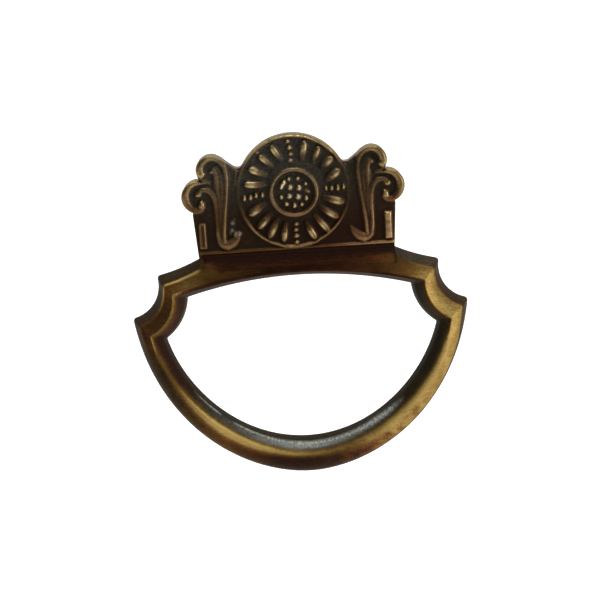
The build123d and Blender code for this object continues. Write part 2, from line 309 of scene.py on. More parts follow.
# Distance along the section from the crest, negative on the outer side
from_crest = (row_lengths - row_lengths[np.argmin(np.abs(marks - 4))]).T.ravel()
ring_station = np.repeat(np.arange(STATIONS), ROWS)
i, j = np.meshgrid(np.arange(STATIONS), np.arange(ROWS), indexing="ij")
i2, j2 = (i + 1) % STATIONS, (j + 1) % ROWS
ring_faces = np.stack([i * ROWS + j, i2 * ROWS + j, i2 * ROWS + j2, i * ROWS + j2], axis=-1)
ring_faces = ring_faces.reshape(-1, 4)

# Unevenness of the casting, and chips along the outer lower edge: place, size and depth
uneven = waves(ring_points[:, 0], ring_points[:, 1], ring_points[:, 2], 2.6)
raised = ramp(ring_points[:, 2], 0.5, 2.0)
ring_points[:, 2] += 0.035 * uneven * raised
CHIPS = [((21.6, -41.2, 0.6), 0.5, 0.16), ((23.0, -39.8, 0.8), 0.4, 0.12),
         ((31.7, -28.2, 1.2), 0.45, 0.14), ((-24.6, -38.9, 1.4), 0.5, 0.1),
         ((8.0, -54.0, 1.0), 0.6, 0.1)]
RING_MIDDLE = -20
for chip, size, depth in CHIPS:
    away = np.linalg.norm(ring_points - chip, axis=1)
    inward = np.stack([-ring_points[:, 0], RING_MIDDLE - ring_points[:, 1]], axis=1)
    inward /= np.linalg.norm(inward, axis=1)[:, None]
    ring_points[:, :2] += inward * (depth * bell(away, 0, size))[:, None]


# Plate: a fine grid cut to the outline, its heights made of ribs, petals and beads
STEP = 0.155
GRID_HALF_WIDTH, GRID_FOOT, GRID_TOP = 23.5, -5.2, 19.4
gx = np.arange(-GRID_HALF_WIDTH, GRID_HALF_WIDTH + STEP, STEP)
gy = np.arange(GRID_FOOT, GRID_TOP, STEP)
X, Y = np.meshgrid(gx, gy, indexing="ij")


def inside_circle(x, y, centre, radius):
    """Distance to a circle, negative inside it."""
    return np.hypot(x - centre[0], y - centre[1]) - radius


def inside_polygon(x, y, points):
    """Distance to a polygon, negative inside it."""
    points = np.asarray(points, float)
    best = np.full(x.shape, 1e9)
    odd = np.zeros(x.shape, bool)
    for (x0, y0), (x1, y1) in zip(points, np.roll(points, -1, axis=0)):
        ex, ey = x1 - x0, y1 - y0
        t = np.clip(((x - x0) * ex + (y - y0) * ey) / (ex * ex + ey * ey), 0, 1)
        best = np.minimum(best, np.hypot(x - x0 - t * ex, y - y0 - t * ey))
        if y0 != y1:
            crosses = ((y0 > y) != (y1 > y)) & (x < (x1 - x0) * (y - y0) / (y1 - y0) + x0)
            odd ^= crosses
    return np.where(odd, -best, best)


def blended(a, b, width):
    """The union of two areas, with a fillet where their edges meet."""
    t = np.clip(0.5 + 0.5 * (b - a) / width, 0, 1)
    return b * (1 - t) + a * t - width * t * (1 - t)


DISC_CENTRE, DISC_RADIUS = (0.0, 7.1), 11.6
LOWER_LOBE, UPPER_LOBE = (-19.4, 7.0), (-16.45, 12.35)
BODY = [(0.5, -5.0), (-20.2, -5.0), (-20.75, 3.5), (-19.2, 9), UPPER_LOBE, (-11.2, 12.1),
        (0.5, 12.1)]
LOBE_SLOPE = [UPPER_LOBE, (-14.35, 14.45), (-11.3, 12.2), (-11.3, 5), (-16.45, 5)]


def outline(x, y):
    """Distance to the plate's outline, negative inside. Both halves are the left one's mirror."""
    ax = -np.abs(x)
    body = inside_polygon(ax, y, BODY)
    slope = inside_polygon(ax, y, LOBE_SLOPE)
    upper = blended(inside_circle(ax, y, UPPER_LOBE, 3.0), slope, 0.5)
    lower = inside_circle(ax, y, LOWER_LOBE, 3.4)
    disc = inside_circle(ax, y, DISC_CENTRE, DISC_RADIUS)
    top = blended(upper, disc, 1.7)
    return np.minimum(np.minimum(body, lower), top)


def spline(points, per_piece=14):
    """A smooth line through points."""
    p = np.asarray(points, float)
    p = np.concatenate([[2 * p[0] - p[1]], p, [2 * p[-1] - p[-2]]])
    t = np.linspace(0, 1, per_piece, endpoint=False)[:, None]
    out = []
    for a, b, c, d in zip(p, p[1:], p[2:], p[3:]):
        square, cube = 2 * a - 5 * b + 4 * c - d, 3 * b - a - 3 * c + d
        out.append(0.5 * (2 * b + (c - a) * t + square * t**2 + cube * t**3))
    return np.concatenate(out + [p[-2:-1]])


def nearest_on(path, x, y):
    """Distance from each place to a line, and how far along the line it is nearest, 0 to 1."""
    along = lengths(path)
    best = np.full(x.shape, 1e9)
    share = np.zeros(x.shape)
    for k in range(len(path) - 1):
        (x0, y0), (x1, y1) = path[k], path[k + 1]
        ex, ey = x1 - x0, y1 - y0
        t = np.clip(((x - x0) * ex + (y - y0) * ey) / (ex * ex + ey * ey + 1e-12), 0, 1)
        d = np.hypot(x - x0 - t * ex, y - y0 - t * ey)
        closer = d < best
        best = np.where(closer, d, best)
        share = np.where(closer, (along[k] + t * (along[k + 1] - along[k])) / along[-1], share)
    return best, share


def on_plate(points):
    """Places read off a square grid laid over the front, carried down to the plate's face."""
    return [(0.98 * x, 0.969 * y - 17.6) for x, y in points]


def rounded(u):
    """Height of a round back at u, where its edges lie at -1 and 1."""
    return np.sqrt(np.clip(1 - u * u, 0, 1))


relief = np.zeros(X.shape)
polish = np.zeros(X.shape)


def raise_to(part, height, shine):
    """Lifts the relief where a form is higher, and notes how rubbed the form is there."""
    higher = height > relief[part]
    relief[part] = np.where(higher, height, relief[part])
    polish[part] = np.where(higher, shine, polish[part])


def along_line(share, values):
    """The value at a share of a line, from values at even steps along it."""
    return np.interp(share, np.linspace(0, 1, len(values)), values)


# More than half the width of any rib
RIB_REACH = 1.6


def add_rib(points, widths, rises, shines, side=-1, power=1.0):
    """A rounded rib along a smooth line. Half widths, rises and rubbing are given at even steps
    along it."""
    path = spline(on_plate(points))
    if side > 0:
        path = path * [-1, 1]
    lo, hi = path.min(0) - RIB_REACH, path.max(0) + RIB_REACH
    part = (X > lo[0]) & (X < hi[0]) & (Y > lo[1]) & (Y < hi[1])
    d, share = nearest_on(path, X[part], Y[part])
    top = rounded(d / along_line(share, widths)) ** power
    raise_to(part, along_line(share, rises) * top, along_line(share, shines) * top ** 0.8)


def add_bump(x, y, radius_x, radius_y, rise, turn=0.0, shine=0.5):
    """An oval bump about a place."""
    dx, dy = X - x, Y - y
    u = (dx * math.cos(turn) + dy * math.sin(turn)) / radius_x
    v = (-dx * math.sin(turn) + dy * math.cos(turn)) / radius_y
    part = np.hypot(u, v) < 1
    top = rounded(np.hypot(u, v)[part])
    raise_to(part, rise * top, shine * top ** 0.5)


def add_place(x, y, *sizes, **settings):
    """A bump at a place read off the square grid."""
    (px, py), = on_plate([(x, y)])
    add_bump(px, py, *sizes, **settings)


def make_scrolls(side):
    """The scrolls, stem, curl, leaf and bar of one side, -1 for the left and 1 for the right."""
    left = side < 0
    # body of the stem, and its flutes
    add_rib([(-15.5, 31.0), (-15.2, 29.4), (-15.1, 27), (-15.2, 24), (-15.35, 21), (-15.45, 18),
             (-15.45, 15.4)], (0.9, 1.25, 1.3, 1.2, 1.05, 0.95, 0.8),
            (0.3, 0.42, 0.42, 0.42, 0.42, 0.42, 0.4), (0.1, 0.1, 0.12), side, 0.45)
    add_rib([(-16.6, 30.6), (-16.1, 30.9), (-15.75, 29.9), (-15.6, 28.4), (-15.55, 26.5),
             (-15.4, 24), (-15.35, 22), (-15.45, 20)], (0.5, 0.55, 0.42, 0.36, 0.34, 0.3),
            (0.5, 0.58, 0.58, 0.56, 0.54, 0.48), (0.28, 0.28, 0.14, 0.14, 0.16), side)
    add_rib([(-14.8, 29.6), (-14.65, 27.4), (-14.75, 25), (-14.9, 22.6)], (0.26, 0.3, 0.3, 0.26),
            (0.46, 0.54, 0.54, 0.46), (0.12, 0.16, 0.14), side)
    # upper scroll: a broad rounded band that narrows to the stem's outer ridge
    add_rib([(-18.85, 30.15), (-18.97, 31.15), (-18.55, 32.35), (-17.45, 33.3), (-16.2, 33.55),
             (-14.95, 33.0), (-14.05, 31.9), (-13.7, 30.5)],
            (1.0, 0.95, 0.9, 0.9, 0.85, 0.8, 0.68, 0.48),
            (0.9, 0.9, 0.86, 0.84, 0.82, 0.78, 0.74, 0.68),
            (0.42, 0.44, 0.3, 0.38, 0.34, 0.24, 0.18, 0.18), side)
    add_place(side * 18.75, 30.2, 0.98, 0.9, 0.92, shine=0.44)
    add_rib([(-13.8, 31.2), (-13.55, 29.2), (-13.7, 26.9), (-13.93, 24.7), (-14.25, 22.4),
             (-14.55, 20.1), (-14.78, 17.9), (-14.9, 15.6)], (0.55, 0.46, 0.42, 0.42, 0.44),
            (0.7, 0.66, 0.64, 0.66, 0.68),
            (0.22, 0.28, 0.3, 0.34, 0.38) if left else (0.06, 0.08, 0.14, 0.3, 0.38), side)
    # lower scroll, its inner end turned up
    add_rib([(-17.3, 28.35), (-18.5, 28.6), (-19.9, 28.6), (-21.15, 28.05), (-22.02, 26.95),
             (-22.35, 25.7), (-22.15, 24.3), (-21.4, 23.15), (-20.4, 22.55), (-19.45, 22.65),
             (-18.95, 23.3)], (0.4, 0.68, 0.85, 0.92, 0.95, 0.95, 0.95, 0.9, 0.82, 0.75, 0.7),
            (0.4, 0.66, 0.8, 0.86, 0.88, 0.88, 0.86, 0.82, 0.74, 0.7, 0.7),
            (0.1, 0.22, 0.38, 0.42, 0.4, 0.38, 0.34, 0.26, 0.14, 0.2, 0.3), side)
    add_place(side * 19.15, 23.55, 0.78, 1.2, 0.76, turn=side * 0.15, shine=0.5)
    # curl, its end a round bud
    add_rib([(-19.5, 26.3), (-18.9, 26.85), (-17.8, 26.75), (-16.95, 26.1), (-16.4, 25.0),
             (-16.15, 23.5), (-16.15, 21.3), (-16.2, 19.0), (-16.15, 17.2), (-15.75, 15.8),
             (-15.0, 14.9)], (0.62, 0.64, 0.66, 0.66, 0.6, 0.5, 0.42, 0.42, 0.46, 0.5, 0.5),
            (0.6, 0.62, 0.62, 0.62, 0.6, 0.56, 0.52, 0.54, 0.6, 0.62, 0.62),
            (0.22, 0.2, 0.22, 0.2, 0.16, 0.12, 0.12, 0.16, 0.36, 0.28, 0.24) if left
            else (0.22, 0.2, 0.2, 0.2, 0.26, 0.32, 0.4, 0.42, 0.46, 0.36, 0.3), side)
    add_place(side * 19.65, 26.0, 0.8, 0.72, 0.7, shine=0.38)
    # foot: a crescent leaf
    add_rib([(-16.1, 16.4), (-15.6, 15.3), (-14.5, 14.85), (-13.3, 15.25), (-12.3, 16.2),
             (-11.55, 17.35)], (0.45, 0.7, 0.98, 1.0, 0.72, 0.2),
            (0.5, 0.6, 0.66, 0.62, 0.55, 0.4),
            (0.2, 0.26, 0.34, 0.28, 0.24, 0.2) if left else (0.26, 0.34, 0.44, 0.34, 0.26, 0.2),
            side, 0.7)
    if left:
        # hollowed bar
        bar = inside_polygon(X, Y, [(-19.75, -3.7), (-18.2, -3.7), (-18.2, 1.7), (-19.75, 1.7)])
        part = bar < 0.1
        depth = -bar[part]
        raise_to(part, 0.44 * ramp(depth, -0.05, 0.25) - 0.2 * ramp(depth, 0.34, 0.6),
                 0.34 * ramp(depth, 0, 0.2) - 0.2 * ramp(depth, 0.3, 0.5))
    else:
        bar = inside_polygon(X, Y, [(19.85, -3.95), (18.2, -3.95), (18.2, 1.8), (19.85, 1.8)])
        part = bar < 0
        top = rounded(np.clip(1 + bar[part] / 0.8, 0, 1)) ** 0.8
        raise_to(part, 0.66 * top,
                 (0.5 + 0.2 * bell(Y[part], 1.3, 0.5) + 0.05 * np.sin(4 * Y[part])) * top)


make_scrolls(-1)
make_scrolls(1)

# small marks of the mould: a line left of the disc and pale specks by the left stem
add_rib([(-11.35, 31.0), (-11.6, 29.6), (-11.95, 27.6)], (0.3, 0.2), (0.24, 0.18), (0.25, 0.15))
SPECKS = [(-13.0, 19.5, 0.36), (-13.2, 18.0, 0.3), (-12.5, 17.1, 0.42), (-13.6, 17.4, 0.28),
          (-11.7, 17.2, 0.4), (-12.6, 20.3, 0.25)]
for x, y, size in SPECKS:
    add_place(x, y, size * 1.2, size * 1.4, 0.22 if y > 17.3 else 0.6, shine=0.16)

# lip along the plate's foot
LIP_MIDDLE, LIP_HALF_WIDTH, LIP_RISE, LIP_END = -4.6, 0.42, 0.34, 20.3
from_lip = Y - LIP_MIDDLE
on_lip = np.abs(from_lip) < LIP_HALF_WIDTH
lip = LIP_RISE * rounded(from_lip / LIP_HALF_WIDTH) * ramp(LIP_END - np.abs(X), 0, 0.4)
raise_to(on_lip, lip[on_lip], (0.08 + 0.3 * ramp(X, 4, 16))[on_lip])

# Rosette
RX, RY = X - DISC_CENTRE[0], Y - DISC_CENTRE[1]
R = np.hypot(RX, RY)
turned = np.degrees(np.arctan2(RY, RX))
sideways = np.abs(RX) / np.maximum(R, 0.1)
step_edge = ramp(11.75 - R, 0, 0.35)
fade = 1 - 0.75 * ramp(sideways, 0.93, 1.0)
disc_floor = 0.2 * fade + 0.16 * ramp(7.2 - R, 0, 1.6)
disc_relief = disc_floor * step_edge
overlap = 0.16 * bell(turned, -69, 5) - 0.12 * bell(turned, -64, 2.0)
rim_radius = 11.3 + 0.06 * np.sin(np.radians(turned * 3) + 1.1) + overlap
rim_fade = 1 - np.where(RX < 0, 0.7 * ramp(sideways, 0.9, 0.99), 0.85 * ramp(sideways, 0.78, 0.94))
rim_rise = 0.4 * rim_fade * (1 - 0.55 * bell(turned, 112, 2.2) - 0.4 * bell(turned, 75, 1.6))
rim_top = rounded((R - rim_radius) / 0.36)
rim_relief = 0.2 * fade * step_edge + rim_rise * rim_top
rim_shine = 0.38 * (1 - ramp(sideways, 0.72, 0.95) * np.where(RX < 0, 0.85, 0.9))
disc_polish = np.where(rim_relief > disc_relief, rim_shine * rim_top, 0.03)
disc_relief = np.maximum(disc_relief, rim_relief)
disc_here = (R < DISC_RADIUS) | ((R < 11.85) & (disc_relief > relief))
relief = np.where(disc_here, disc_relief, relief)
polish = np.where(disc_here, disc_polish, polish)

CORE_CENTRE = (0.18, 6.86)
CX, CY = X - CORE_CENTRE[0], Y - CORE_CENTRE[1]
C = np.hypot(CX, CY)
core_wall = 0.5 * ramp(5.55 - C, 0, 0.85)
core_top = rounded(np.clip((C - 4.65) / 0.5, -1, 1))
core_ring = 0.3 + 0.62 * core_top ** 0.9
dish = 0.06 + 0.2 * bell(C, 0, 2.6)
core_relief = np.where(C < 4.3, dish, core_wall)
core_polish = np.where((core_top > 0) & (core_ring > core_relief), 0.35 * core_top, 0.03)
core_relief = np.where(core_top > 0, np.maximum(core_relief, core_ring), core_relief)
core_here = (C < 5.2) | ((C < 5.75) & (core_relief > relief))
relief = np.where(core_here, core_relief, relief)
polish = np.where(core_here, core_polish, polish)

# beads in the core: four large ones, a circle of small ones and a lump where two ran together
BEADS = [(-0.55, 26.3, 0.56, 0.6), (1.3, 26.1, 0.56, 0.68), (-0.8, 24.45, 0.6, 0.58),
         (1.0, 24.2, 0.64, 0.66), (-0.7, 28.1, 0.42, 0.48), (1.15, 28.15, 0.42, 0.46),
         (2.7, 26.9, 0.4, 0.42), (2.7, 23.8, 0.44, 0.52), (1.65, 22.55, 0.42, 0.44),
         (0.15, 22.4, 0.5, 0.58), (-1.5, 22.8, 0.5, 0.46), (-2.5, 24.3, 0.46, 0.46)]
for x, y, size_x, size_y in BEADS:
    add_place(x, y, size_x * 1.12, size_y * 1.12, 0.34 + size_x * 0.95, shine=0.56)
add_place(-1.95, 27.2, 0.6, 1.0, 0.86, turn=-0.55, shine=0.85)
add_place(-2.35, 26.4, 0.45, 0.5, 0.7, shine=0.8)
add_place(2.95, 25.4, 0.38, 0.75, 0.46, turn=0.9, shine=0.4)

# rays: rows of beads on the four axes and four petals between each two rows. A petal is given
# by its root, its tip and its half width
PETALS = [((-2.0, 31.9), (-3.95, 35.2), 0.66), ((-3.9, 30.9), (-6.5, 33.3), 0.66),
          ((-5.1, 29.1), (-8.8, 30.7), 0.76), ((-5.4, 27.1), (-10.0, 27.5), 0.74),
          ((2.25, 31.7), (2.95, 35.8), 0.74), ((4.5, 31.1), (5.85, 34.4), 0.66),
          ((6.0, 29.8), (8.5, 32.1), 0.8), ((6.8, 27.1), (9.85, 29.4), 0.8),
          ((5.9, 23.8), (10.4, 22.5), 0.8), ((5.0, 22.1), (8.95, 19.4), 0.74),
          ((3.8, 20.6), (6.9, 16.7), 0.68), ((2.1, 19.1), (4.1, 15.2), 0.68),
          ((-5.7, 23.3), (-9.35, 21.0), 0.8), ((-4.6, 21.3), (-7.6, 18.1), 0.74),
          ((-3.3, 20.2), (-5.5, 16.0), 0.74), ((-1.9, 19.2), (-2.55, 15.0), 0.66)]


def add_petal(root, tip, width):
    """A grain-shaped petal in a shallow hollow: pointed at the root, full towards the tip."""
    root, tip = (np.array(p) for p in on_plate([root, tip]))
    axis = tip - root
    length = np.hypot(*axis)
    axis /= length
    root, length = root - axis * 0.35, length + 0.5
    dx, dy = X - root[0], Y - root[1]
    u = (dx * axis[0] + dy * axis[1]) / length
    v = -dx * axis[1] + dy * axis[0]
    width = width * 1.24
    head = 1 - width * 1.15 / length
    w = width * (0.3 + 0.7 * ramp(u, -0.2, 0.5))
    over = np.clip((u - head) / (1 - head), 0, 1)
    w = w * np.sqrt(np.clip(1 - over**2, 1e-4, 1))
    part = (u > 0) & (u < 1) & (np.abs(v) < w)
    top = rounded(v[part] / w[part])
    rise = (0.4 + 0.57 * ramp(u[part], 0.0, 0.6)) * ramp(u[part], -0.05, 0.15)
    hollow = (u > -0.02) & (u < 1.06) & (C > 5.3) & (R < 10.9)
    relief[hollow] -= 0.14 * bell(v[hollow] / width, 0, 1.6)
    raise_to(part, rise * top, (0.06 + 0.58 * bell(u[part], 0.68, 0.24)) * top)


for root, tip, width in PETALS:
    add_petal(root, tip, width)
ROW_BEADS = [(-0.15, 32.0, 0.42), (-0.05, 33.3, 0.42), (-0.2, 34.6, 0.5), (-0.5, 35.9, 0.4),
             (0.25, 18.5, 0.42), (0.1, 17.3, 0.42), (0.15, 16.0, 0.48), (0.15, 14.7, 0.44),
             (6.9, 25.6, 0.4), (8.05, 25.6, 0.46), (9.3, 25.55, 0.5), (10.5, 25.7, 0.42),
             (-6.4, 25.0, 0.4), (-7.7, 25.05, 0.46), (-8.85, 24.7, 0.5), (-10.1, 24.6, 0.46)]
for x, y, size in ROW_BEADS:
    long_x = abs(y - 25) > 4
    wide, high = (1.3, 1.1) if long_x else (1.05, 1.6)
    shine = 0.46 if long_x or x < 0 else 0.4
    add_place(x, y, size * wide, size * high, 0.32 + size * 1.05, shine=shine)
add_place(-6.8, 34.0, 0.34, 0.3, 0.55, shine=0.6)

LOWEST_RELIEF, HIGHEST_RELIEF, HIGHEST_EDGE = -0.2, 0.97, 0.98
outside = outline(X, Y)
heights = GROUND + np.clip(relief, LOWEST_RELIEF, HIGHEST_RELIEF)
heights += 0.025 * waves(X, Y, 0 * X, 1.3) * (relief < 0.3)


def softened(a, passes=1):
    """A grid evened out with its neighbours, a number of times."""
    for _ in range(passes):
        p = np.pad(a, 1, mode="edge")
        a = 0.5 * a + 0.125 * (p[:-2, 1:-1] + p[2:, 1:-1] + p[1:-1, :-2] + p[1:-1, 2:])
    return a


heights = softened(heights, 2)
# rounded outer edge
EDGE_ROUND = 0.5
depth = np.clip(-outside, 0, EDGE_ROUND)
heights -= EDGE_ROUND - np.sqrt(EDGE_ROUND**2 - (EDGE_ROUND - depth) ** 2)
heights = np.minimum(heights, GROUND + HIGHEST_EDGE)
# how far each place stands above its surroundings
broad = softened(heights, 26)
standing = heights - broad

# grid places near the outline move onto it
eps = 0.02
slope_x = (outline(X + eps, Y) - outline(X - eps, Y)) / (2 * eps)
slope_y = (outline(X, Y + eps) - outline(X, Y - eps)) / (2 * eps)
norm = np.maximum(np.hypot(slope_x, slope_y), 1e-6)
near = np.abs(outside) < STEP * 0.72
PX = np.where(near, X - outside * slope_x / norm, X)
PY = np.where(near, Y - outside * slope_y / norm, Y)
kept = near | (outside < 0)
heights = np.where(near, GROUND + 0.02 - EDGE_ROUND * 0.9, heights)

keys = np.full(X.shape, -1)
cell = kept[:-1, :-1] & kept[1:, :-1] & kept[1:, 1:] & kept[:-1, 1:]
used = np.zeros(X.shape, bool)
for sx in (slice(None, -1), slice(1, None)):
    for sy in (slice(None, -1), slice(1, None)):
        used[sx, sy] |= cell
keys[used] = np.arange(used.sum())
ci, cj = np.nonzero(cell)
plate_faces = np.stack([keys[ci, cj], keys[ci + 1, cj], keys[ci + 1, cj + 1], keys[ci, cj + 1]],
                       axis=1)
plate_points = np.column_stack([PX[used], PY[used], heights[used]])
plate_standing = standing[used]
plate_polish = softened(polish, 1)[used]


# Heights where the plate's side walls are divided, down to the flat back
WALL_LEVELS = (5.6, 4.4, BACK_HEIGHT)


def faces_outward(mesh):
    """Turns the faces of a closed mesh outward."""
    bm = bmesh.new()
    bm.from_mesh(mesh)
    bmesh.ops.recalc_face_normals(bm, faces=bm.faces)
    bm.to_mesh(mesh)
    bm.free()


def solid_from_front(points, faces):
    """Closes a front skin into a solid with walls and a flat back."""
    mesh = bpy.data.meshes.new("front")
    mesh.from_pydata(points.tolist(), [], faces.tolist())
    bm = bmesh.new()
    bm.from_mesh(mesh)
    bmesh.ops.delete(bm, geom=[v for v in bm.verts if not v.link_faces], context="VERTS")
    rim = [e for e in bm.edges if e.is_boundary]
    for level in WALL_LEVELS:
        made = bmesh.ops.extrude_edge_only(bm, edges=rim)["geom"]
        for v in (g for g in made if isinstance(g, bmesh.types.BMVert)):
            v.co.z = level
        rim = [g for g in made if isinstance(g, bmesh.types.BMEdge) and g.is_boundary]
    bmesh.ops.holes_fill(bm, edges=rim, sides=0)
    bm.to_mesh(mesh)
    bm.free()
    faces_outward(mesh)
    return mesh


def closed_mesh(name, points, faces):
    mesh = bpy.data.meshes.new(name)
    mesh.from_pydata(np.asarray(points).tolist(), [], faces)
    faces_outward(mesh)
    return mesh


def lofted(profiles, xs):
    """A solid along x from closed profiles of (y, h), one for each x."""
    count = len(profiles[0])
    rings = [np.column_stack([np.full(count, x), p]) for x, p in zip(xs, profiles)]
    points = np.concatenate(rings)
    faces = []
    for k in range(len(xs) - 1):
        for m in range(count):
            n = (m + 1) % count
            faces.append((k * count + m, k * count + n, (k + 1) * count + n, (k + 1) * count + m))
    faces.append(tuple(range(count))[::-1])
    faces.append(tuple((len(xs) - 1) * count + m for m in range(count)))
    return points, faces


def revolved(profile, centre, sides=64):
    """A solid turned about the h axis from (radius, h) pairs that begin and end on the axis."""
    points, faces = [(centre, 0, profile[0][1]), (centre, 0, profile[-1][1])], []
    inner = profile[1:-1]
    for radius, h in inner:
        for k in range(sides):
            a = 2 * math.pi * k / sides
            points.append((centre + radius * math.cos(a), radius * math.sin(a), h))

    def number(ring, k):
        return 2 + ring * sides + k % sides

    last = len(inner) - 1
    for k in range(sides):
        faces.append((0, number(0, k), number(0, k + 1)))
        faces.append((1, number(last, k + 1), number(last, k)))
        for r in range(last):
            faces.append((number(r, k), number(r + 1, k), number(r + 1, k + 1), number(r, k + 1)))
    return points, faces


# Enough of each line's first points to reach past the moulding's end
TOP_POINTS = 80


def top_y(line, x):
    """The y of one of the ring's lines at x, within its first points."""
    near_top = line[:TOP_POINTS][::-1]
    return np.interp(-abs(x), near_top[:, 0], near_top[:, 1])


# Hollow moulding under the lip and the cheek at its left end
def cove_section(x):
    """The hollow from under the lip out to the ring's face, where the two run together."""
    foot_y = mix(-7.9, top_y(crest_line, x), 0.4)
    dip = 0.7 * ramp(-x, 16.0, 19.75)
    hollow = bezier((-5.5, 7.02), (-5.6, 4.9), (-6.7, 4.35 - 0.4 * dip), (foot_y, 4.66 - dip), 30)
    back = [(foot_y, 3.1), (-4.3, 3.1), (-4.3, 7.0), (-5.05, 7.03), (-5.3, 7.08)]
    section = np.concatenate([hollow, np.array(back)])
    # at the right it runs out along the ring's outer edge
    down = np.concatenate([np.linspace(0, 1, len(hollow)), np.zeros(len(back))])
    wall_y, rim_y = top_y(outer_line, x), top_y(edge_line, x)
    sunk = np.column_stack([mix(wall_y - 0.5, rim_y - 0.5, down), mix(1.0, 3.9, down)])
    return mix(section, sunk, ramp(x, 20.05 + 0.1 * down, 20.7 + 1.2 * down)[:, None])


cove_xs = np.concatenate([np.linspace(-19.75, 19.7, 90), np.linspace(19.8, 22.0, 24)])
cove_points, cove_faces = lofted([cove_section(x) for x in cove_xs], cove_xs)
cheek_profile = [(-4.6, 3.05), (-4.6, 7.15), (-5.0, 7.12), (-5.25, 6.95), (-6.2, 6.1), (-7.2, 5.3),
                 (-8.1, 4.7), (-8.2, 3.05)]
cheek_xs = np.linspace(-20.15, -19.35, 5)
cheek_points, cheek_faces = lofted([cheek_profile] * len(cheek_xs), cheek_xs)

# Screw posts on the back, each with a blind hole
SCREW_SPACING, HOLE_RADIUS, HOLE_DEPTH, POST_RADIUS = 32.0, 1.65, 10.0, 3.75
door = -STANDOFF
post_profile = [
    (0, door + 11.0), (HOLE_RADIUS, door + HOLE_DEPTH), (HOLE_RADIUS, door + 5),
    (HOLE_RADIUS, door + 0.4), (HOLE_RADIUS + 0.4, door), (3.55, door), (POST_RADIUS, door + 0.2),
    (POST_RADIUS, door + 6), (POST_RADIUS, 2.0), (POST_RADIUS + 0.15, 2.4),
    (POST_RADIUS + 0.45, 2.8), (POST_RADIUS + 0.8, 3.0), (POST_RADIUS + 0.8, 3.2), (0, 3.2)]
posts = [revolved(post_profile, x) for x in (-SCREW_SPACING / 2, SCREW_SPACING / 2)]


plate_mesh = solid_from_front(plate_points, plate_faces)
ring_object = as_object("pull_casting", closed_mesh("ring", ring_points, ring_faces.tolist()))
others = [as_object("plate_form", plate_mesh),
          as_object("cove_form", closed_mesh("cove", cove_points, cove_faces)),
          as_object("cheek_form", closed_mesh("cheek", cheek_points, cheek_faces))]
others += [as_object("post_form", closed_mesh("post", *post)) for post in posts]
for other in others:
    union = ring_object.modifiers.new("union", "BOOLEAN")
    union.operation = "UNION"
    union.solver = "MANIFOLD"
    union.object = other
bpy.context.view_layer.update()
graph = bpy.context.evaluated_depsgraph_get()
joined = bpy.data.meshes.new_from_object(ring_object.evaluated_get(graph))
ring_object.modifiers.clear()
ring_object.data = joined
for other in others:
    bpy.data.objects.remove(other)


